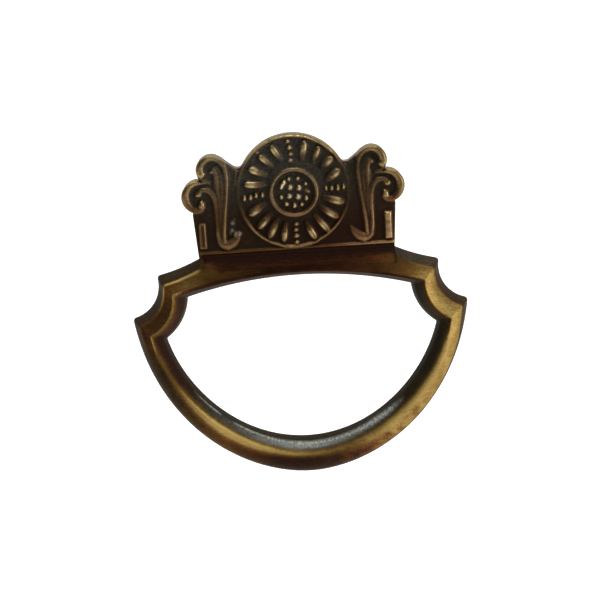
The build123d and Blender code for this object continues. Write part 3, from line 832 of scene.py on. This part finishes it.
# How rubbed each place is, with painted light and shade added in, and where it is grey, painted
# reflections included, or red
def ring_finish():
    """How rubbed, grey and red each point of the ring is, with painted light, shade and
    reflections added in.
    """
    x, y, m = ring_points[:, 0], ring_points[:, 1], ring_marks
    lower = lower_share[ring_station]
    right = ramp(x, -24, 24)
    # upper part: dark wall, rubbed edge line, brushed face, soft crest, dark throat
    top = ramp(y, -15.5, -12)
    # the face is lighter towards the right: partly rubbed brass, partly painted light falling from
    # the right
    face = np.interp(x, [-36, -28, -24, 24, 29, 34], [0.13, 0.15, 0.3, 0.54, 0.6, 0.7])
    # over the arch, painted shadow cast by the plate, darkest in the middle
    shadowed_over_arch = np.interp(x, [-25, -22, -16, -6, 8, 16, 21, 25, 28],
                          [0.36, 0.36, 0.26, 0.06, 0.08, 0.14, 0.24, 0.5, 0.64])
    face = mix(face, shadowed_over_arch, top * (np.abs(x) < 28))
    face += 0.05 * waves(4 * x, 4 * y, m, 1.7) * ramp(x, 12, 24)
    wall = 0.04 + 0.02 * right
    edge = np.interp(x, [-36, -31, -28, -21, -19.5, 16, 22, 25, 29, 36],
                     [0.25, 0.35, 0.9, 0.9, 0.25, 0.12, 0.2, 0.46, 0.52, 0.7])
    upper = np.interp(m, [-0.3, 1.5, 1.8, 2.0, 2.1, 2.4], [0.15, 0.0, 0.3, 1.0, 0.85, 0.0])
    bevel = np.interp(x, [-25.5, -23.5, -8, 0], [0.0, 0.85, 0.6, 0.0]) * top * ramp(m, 3.35, 3.7)
    face = face * (1 - bevel)
    brushed = ramp(m, 2.05, 2.4) * (1 - 0.2 * bell(m, 2.6, 0.3))
    upper = wall + (edge - wall) * upper + face * brushed
    # painted highlight across the left shoulder's face, with painted shade beside the crest
    face_light = np.interp(x, [-28, -25, -18, -12], [0.0, 0.1, 0.1, 0.0]) * top
    upper += face_light * bell(m, 2.7, 0.6) - 0.5 * face_light * ramp(m, 3.3, 3.9)
    crest_shine = np.interp(x, [-36, -27, -24, -18, -12], [0.5, 0.56, 0.24, 0.06, 0.0])
    upper += crest_shine * bell(m, 3.72, 0.3)
    outlined = ramp(x, 12, 22) * (1 - lower)
    upper -= 0.45 * outlined * bell(m, 4.0, 0.11)
    throat = np.interp(m, [4.0, 4.2, 4.45, 4.8, 5.2, 6.0], [1.0, 0.5, 0.25, 0.12, 0.05, 0.04])
    inside = (face + 0.18 * (1 - top) * (1 - right)) * throat * (1 - 0.6 * outlined)
    upper = np.where(m > 4.0, inside, upper)
    # lower part: one rounded slope from the outer edge to the ridge, and a dark slope inside it
    # the slope is lighter towards the right: partly rubbed brass, partly painted light falling
    # from the right
    slope = np.interp(x, [-34, -27, -18, -12, -4, 2, 6, 12, 18, 34],
                      [0.08, 0.12, 0.26, 0.14, 0.03, 0.02, 0.12, 0.38, 0.6, 0.7])
    ridge = np.interp(x, [-33, -28, -24, -18, -8, 0, 8, 16, 30],
                      [0.26, 0.3, 0.64, 0.9, 0.78, 0.6, 0.5, 0.66, 0.72])
    spread = np.interp(x, [-30, -24, -14, -6, 0, 8, 13, 20],
                       [0.9, 1.4, 1.2, 0.65, 0.55, 0.8, 1.3, 2.2])
    outward = np.clip(-from_crest, 0, None)
    under = slope + (ridge - slope) * np.exp(-(outward / spread) ** 2)
    blotch = waves(x + 3, y, m, 1.6)
    fine = waves(3 * x, 3 * y, 2 * m, 1.1)
    patchy = np.interp(x, [2, 12, 18, 22, 26], [0.0, 0.3, 0.24, 0.26, 0.1])
    under -= patchy * ramp(outward, 1.2, 2.6) * np.clip(0.3 + blotch + 0.4 * fine, 0, 1)
    for (cx, cy, ch), size, depth in CHIPS[:3]:
        away = np.linalg.norm(ring_points - [cx, cy, ch + 1.0], axis=1)
        under -= 0.5 * bell(away, 0, 2.2 * size)
    under -= 0.08 * bell(x, 0, 12) * ramp(outward, 1.0, 2.0) * np.clip(0.2 + fine, 0, 1)
    under = np.clip(under, 0, 1) * ramp(m, 1.2, 2.0) + 0.03
    inward = np.clip(from_crest, 0, None)
    inner_spread = np.interp(x, [-20, 4], [1.15, 0.75])
    under = np.where(from_crest > 0, ridge * np.exp(-(inward / inner_spread) ** 2) + 0.03, under)
    rubbed_and_painted_light = mix(upper, under, lower)
    rubbed_and_painted_light = np.where((m > 6.2) | (m < -0.1), 0.25, rubbed_and_painted_light)
    # painted reflection of the light above: pale streaks and a broad grey sheen on the slope
    # inside the ridge
    reflection_streak = np.interp(x, [-24, -22, -19, -18, -16.3, -15, -8, 0, 8, 15, 17.5, 19.5, 21],
                       [0, 0.5, 0.65, 0.05, 0.05, 0.7, 0.75, 0.85, 0.8, 1.0, 0.9, 0.3, 0])
    place = np.interp(x, [-24, -15, -8, 0, 8, 15, 20], [3.4, 3.2, 3.0, 2.75, 2.65, 2.5, 2.3])
    width = np.interp(x, [-24, -12, 0, 8, 15, 20], [0.26, 0.28, 0.5, 0.55, 0.85, 0.7])
    flecks = waves(5 * x + 2, 4 * y, 3 * m, 1.3)
    speckle = np.clip(0.75 + 0.25 * fine + 0.45 * flecks, 0.1, 1)
    grey = 1.15 * lower * reflection_streak * bell(from_crest, place, width) * speckle
    grey_reflection = np.interp(x, [-24, -16, -8, -2, 3, 8, 16, 21],
                      [0.0, 0.1, 0.3, 0.46, 0.42, 0.32, 0.26, 0.0])
    grey_reflection = grey_reflection * lower * ramp(from_crest, 0.6, 2.1) * (1 - ramp(from_crest, 2.9, 3.9))
    grey = np.maximum(grey, grey_reflection)
    arm = 0.03 * (m > 0.2) * (m < 1.8) * (y > -11.5) * ramp(x, 18, 22)
    grey = np.maximum(grey, arm * np.clip(0.7 + fine, 0, 1))
    grey = np.clip(grey, 0, 1)
    red = bell(x, -28, 7) * bell(y, -28, 10) * ramp(m, 4.0, 4.4)
    red += bell(x, 3, 17) * ramp(y, -18, -10)
    red += 0.8 * bell(x, -8, 18) * lower * (from_crest < -0.6)
    red += 0.8 * lower * ramp(outward, 1.0, 2.2) * ramp(x, 2, 12)
    red += 0.5 * (1 - lower) * (x < -24) * (y < -11)
    bands = bell(m, 3.9, 0.2) + bell(m, 1.5, 0.4) * (y < -11)
    red += 0.8 * (1 - lower) * ramp(x, 10, 20) * bands
    red += 0.8 * bevel * (1 - lower) * (m < 4.6)
    red = np.clip(red, 0, 1)
    return rubbed_and_painted_light, grey, red


ring_wear_and_painted_light, ring_grey, ring_red = ring_finish()
front_x, front_y = plate_points[:, 0], plate_points[:, 1]
front_disc = ramp(11.0 - np.hypot(front_x - DISC_CENTRE[0], front_y - DISC_CENTRE[1]), 0, 1)
front_rubbed = np.clip(0.05 - 0.06 * front_disc + 0.95 * plate_polish + 0.7 * plate_standing, 0, 1)
front_grey = 0.04 * ramp(front_y, 2, 14) * ramp(-front_x, -16, 6)
# painted whitish highlights on the most rubbed tops of the ornaments
front_grey += 0.09 * ramp(plate_polish, 0.38, 0.56) + 0.04 * ramp(plate_polish, 0.1, 0.3)
front_grey += 0.02 * ramp(front_y, -2, 10)
# pale spots on the larger specks, and painted highlights on the beads of the core
PALE_PLACES = [(-13.0, 19.5), (-13.2, 18.0), (-12.5, 17.1), (-11.7, 17.2), (-2.0, 27.1),
               (-2.2, 26.6), (-0.55, 26.3), (1.3, 26.1), (-0.8, 24.45), (1.0, 24.2)]
for x, y in on_plate(PALE_PLACES):
    front_grey += 0.24 * bell(np.hypot(front_x - x, front_y - y), 0, 0.4)
front_red = 0.1 + 0.3 * ramp(-front_y, -13, -3)
front_red += 0.4 * ramp(front_x, -4, 14) * ramp(-front_y, -8, 3)
cove_x, cove_y = cove_points[:, 0], cove_points[:, 1]
cove_wear_and_painted_shadow = 0.12 + 0.36 * ramp(-cove_x, 15, 20) + 0.26 * ramp(cove_x, 8, 23)
# painted shadow under the plate's lip, darkest at the top of the hollow
cove_wear_and_painted_shadow *= ramp(-cove_y, 6.3, 8.4)
# painted shade at the plate's lower right corner
cove_wear_and_painted_shadow *= 1 - 0.9 * bell(cove_x, 20.5, 0.5)
cove_red = 1 - 0.6 * ramp(cove_x, 15, 21)
post_points = np.concatenate([np.asarray(points) for points, faces in posts])
# Each form's points, and how rubbed, grey and red they are, painted light, shade and reflections
# included
FINISHES = [(ring_points, ring_wear_and_painted_light, ring_grey, ring_red),
            (plate_points, front_rubbed, front_grey, front_red),
            (cove_points, cove_wear_and_painted_shadow, 0.0, cove_red),
            (cheek_points, 0.16, 0.0, 0.0),
            (post_points, 0.3, 0.0, 0.0)]
source_points = np.concatenate([finish[0] for finish in FINISHES])


def source_values(column):
    """One column of FINISHES for all points, in the order of source_points."""
    return np.concatenate([np.broadcast_to(finish[column], len(finish[0])) for finish in FINISHES])


tree = kdtree.KDTree(len(source_points))
for k, point in enumerate(source_points.tolist()):
    tree.insert(point, k)
tree.balance()
nearest = [tree.find(v.co)[1:] for v in joined.vertices]
found = np.array([index for index, distance in nearest])
# places with no source point near, as on the plate's walls and back, have a plain finish
FAR = 0.5
far = np.array([distance for index, distance in nearest]) > FAR
for name, column, plain in (("rubbed_and_painted_light", 1, 0.16), ("greyed_and_painted_reflection", 2, 0.0), ("reddened", 3, 0.2)):
    layer = joined.attributes.new(name, "FLOAT", "POINT")
    values = np.where(far, plain, source_values(column)[found])
    layer.data.foreach_set("value", values.astype(np.float32))

coordinates = np.empty(len(joined.vertices) * 3)
joined.vertices.foreach_get("co", coordinates)
joined.vertices.foreach_set("co", stand(coordinates.reshape(-1, 3)).ravel())
faces_outward(joined)
SHARP_ANGLE = math.radians(38)
joined.shade_smooth()
joined.set_sharp_from_angle(angle=SHARP_ANGLE)


# Antique brass
BRUSH_TURN = math.radians(28)
PATINA, PATINA_RED = (0.017, 0.013, 0.007, 1), (0.022, 0.008, 0.005, 1)
BROWN, BROWN_RED = (0.102, 0.056, 0.013, 1), (0.110, 0.037, 0.012, 1)
# PALE is the grey of the patina and also the colour of the painted reflections
BRIGHT, PALE, DIRT = (0.47, 0.325, 0.100, 1), (0.62, 0.65, 0.58, 1), (0.010, 0.008, 0.005, 1)
SHEEN = (0.85, 0.72, 0.52, 1)


class Nodes:
    """Short calls for building a node tree."""

    def __init__(self, tree):
        self.tree = tree
        tree.nodes.clear()

    def add(self, kind, inputs, **settings):
        """A node with its settings, its inputs given as values or as other nodes' outputs."""
        node = self.tree.nodes.new(kind)
        for key, value in settings.items():
            setattr(node, key, value)
        for key, value in inputs.items():
            if isinstance(value, bpy.types.NodeSocket):
                self.tree.links.new(value, node.inputs[key])
            else:
                node.inputs[key].default_value = value
        return node.outputs

    def math(self, operation, a, b):
        return self.add("ShaderNodeMath", {0: a, 1: b}, operation=operation)[0]

    def swing(self, value, amount):
        """Turns a noise between 0 and 1 into one about 0."""
        return self.math("MULTIPLY", self.math("SUBTRACT", value, 0.5), amount)

    def fit(self, value, a, b, c=0.0, d=1.0):
        inputs = {"Value": value, "From Min": a, "From Max": b, "To Min": c, "To Max": d}
        made = self.add("ShaderNodeMapRange", inputs, interpolation_type="SMOOTHSTEP")
        return made["Result"]

    def blend(self, share, a, b):
        return self.add("ShaderNodeMix", {0: share, 6: a, 7: b}, data_type="RGBA")[2]

    def noise(self, scale, detail, rough, stretch=None):
        place = self.add("ShaderNodeTexCoord", {})["Object"]
        if stretch:
            turned = {"Vector": place, "Scale": stretch, "Rotation": (0, BRUSH_TURN, 0)}
            place = self.add("ShaderNodeMapping", turned)["Vector"]
        inputs = {"Vector": place, "Scale": scale, "Detail": detail, "Roughness": rough}
        return self.add("ShaderNodeTexNoise", inputs)["Fac"]

    def attribute(self, name):
        return self.add("ShaderNodeAttribute", {}, attribute_name=name)["Fac"]


def brass():
    """Dark patina that passes over brown into bright brass where the casting is rubbed and where
    light is painted on, stays dark where shade is painted, and turns pale grey at grey patina and
    at painted reflections.
    """
    material = bpy.data.materials.new("antique_brass")
    material.use_nodes = True
    n = Nodes(material.node_tree)
    rubbed_and_painted_light, greyed_and_painted_reflection, reddened = (n.attribute(name) for name in ("rubbed_and_painted_light", "greyed_and_painted_reflection", "reddened"))
    cloud = n.noise(240, 5, 0.6)
    grain = n.noise(2600, 3, 0.7)
    speck = n.noise(1500, 2, 0.5)
    brush = n.noise(520, 4, 0.65, stretch=(1.0, 1.0, 8.0))
    place = n.add("ShaderNodeTexCoord", {})["Object"]
    on_front = n.fit(n.add("ShaderNodeSeparateXYZ", {0: place})["Z"], -0.007, -0.004)
    # wear and painted light together set the colour, metallic and roughness
    wear_plus_painted_light = n.math("ADD", rubbed_and_painted_light, n.swing(cloud, 0.26))
    wear_plus_painted_light = n.math("ADD", wear_plus_painted_light, n.swing(brush, n.fit(on_front, 0.0, 1.0, 0.38, 0.12)))
    wear_plus_painted_light = n.math("ADD", wear_plus_painted_light, n.swing(grain, 0.22))
    low = n.fit(wear_plus_painted_light, 0.0, 0.4)
    high = n.fit(wear_plus_painted_light, 0.35, 0.95)
    patina = n.blend(reddened, PATINA, PATINA_RED)
    brown = n.blend(reddened, BROWN, BROWN_RED)
    colour = n.blend(low, patina, brown)
    colour = n.blend(high, colour, BRIGHT)
    # pale where the patina is grey and where a reflection is painted
    pale = n.math("MULTIPLY", greyed_and_painted_reflection, n.fit(brush, 0.35, 0.65, 0.7, 1.0))
    pale = n.math("MULTIPLY", pale, n.fit(grain, 0.3, 0.6, 0.35, 1.1))
    colour = n.blend(pale, colour, PALE)
    dirt = n.math("MULTIPLY", n.fit(speck, 0.60, 0.70), 0.35)
    colour = n.blend(dirt, colour, DIRT)
    rough = n.math("ADD", n.fit(wear_plus_painted_light, 0.0, 0.9, 0.56, 0.5), n.swing(grain, 0.16))
    rough = n.math("SUBTRACT", rough, n.math("MULTIPLY", on_front, 0.2))
    brush_depth = n.fit(on_front, 0.0, 1.0, 0.8, 0.1)
    height = n.math("ADD", grain, n.math("MULTIPLY", brush, brush_depth))
    bump = n.add("ShaderNodeBump", {"Strength": 0.35, "Distance": 0.00008, "Height": height})
    shader = n.add("ShaderNodeBsdfPrincipled", {
        "Base Color": colour, "Metallic": n.fit(wear_plus_painted_light, 0.0, 0.55, 0.15, 0.95), "Roughness": rough,
        "Specular IOR Level": 0.04, "Specular Tint": SHEEN, "Normal": bump["Normal"]})
    n.add("ShaderNodeOutputMaterial", {"Surface": shader["BSDF"]})
    return material


ring_object.data.materials.clear()
ring_object.data.materials.append(brass())
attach(ring_object, "root")
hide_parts("ring_pull")


# Floor and backdrop in one sweep
FLOOR, BEND_START, BEND_RADIUS = -0.13, 0.25, 0.25
SWEEP_FRONT, SWEEP_BACK, SWEEP_TOP, SWEEP_HALF_WIDTH = -1.2, 0.5, 1.2, 1.2


def sweep():
    section = [(SWEEP_FRONT, FLOOR), (BEND_START, FLOOR)]
    section += [(BEND_START + BEND_RADIUS * math.sin(a), 0.12 - BEND_RADIUS * math.cos(a))
                for a in np.linspace(0.1, math.pi / 2, 16)]
    section += [(SWEEP_BACK, SWEEP_TOP)]
    points, faces = [], []
    for y, z in section:
        points += [(-SWEEP_HALF_WIDTH, y, z), (SWEEP_HALF_WIDTH, y, z)]
    for k in range(len(section) - 1):
        faces.append((2 * k, 2 * k + 1, 2 * k + 3, 2 * k + 2))
    mesh = bpy.data.meshes.new("sweep")
    mesh.from_pydata(points, [], faces)
    mesh.shade_smooth()
    made = as_object("backdrop", mesh)
    material = bpy.data.materials.new("backdrop_white")
    material.use_nodes = True
    n = Nodes(material.node_tree)
    diffuse = n.add("ShaderNodeBsdfDiffuse", {"Color": (0.6, 0.6, 0.6, 1)})["BSDF"]
    rays = n.add("ShaderNodeLightPath", {})
    seen = n.math("MAXIMUM", rays["Is Camera Ray"], rays["Is Transmission Ray"])
    seen = n.math("MAXIMUM", seen, rays["Is Glossy Ray"])
    glow = n.add("ShaderNodeEmission", {"Strength": n.math("MULTIPLY", seen, 0.85)})["Emission"]
    total = n.add("ShaderNodeAddShader", {0: diffuse, 1: glow})["Shader"]
    n.add("ShaderNodeOutputMaterial", {"Surface": total})
    made.data.materials.append(material)


sweep()


def area_lamp(name, place, size, watts):
    data = bpy.data.lights.new(name, "AREA")
    data.shape = "RECTANGLE"
    data.size, data.size_y = size
    data.energy = watts
    lamp = as_object(name, data)
    lamp.location = place
    lamp.rotation_mode = "QUATERNION"
    lamp.rotation_quaternion = (Vector(place) - Vector(LAMP_TARGET)).to_track_quat("Z", "Y")


LAMP_TARGET = (0, -0.015, -0.018)
area_lamp("top_lamp", (0.04, -0.08, 0.6), (0.5, 0.35), 4.1)
area_lamp("right_lamp", (0.6, -0.3, 0.12), (0.3, 0.5), 2.4)
area_lamp("front_lamp", (0.1, -0.8, 0.4), (0.6, 0.4), 1.1)

world = bpy.data.worlds.new("room")
bpy.context.scene.world = world
world.use_nodes = True
w = Nodes(world.node_tree)
background = w.add("ShaderNodeBackground", {"Color": (1.0, 0.98, 0.94, 1), "Strength": 0.05})
w.add("ShaderNodeOutputWorld", {"Surface": background["Background"]})

bpy.context.scene.view_settings.view_transform = "Standard"
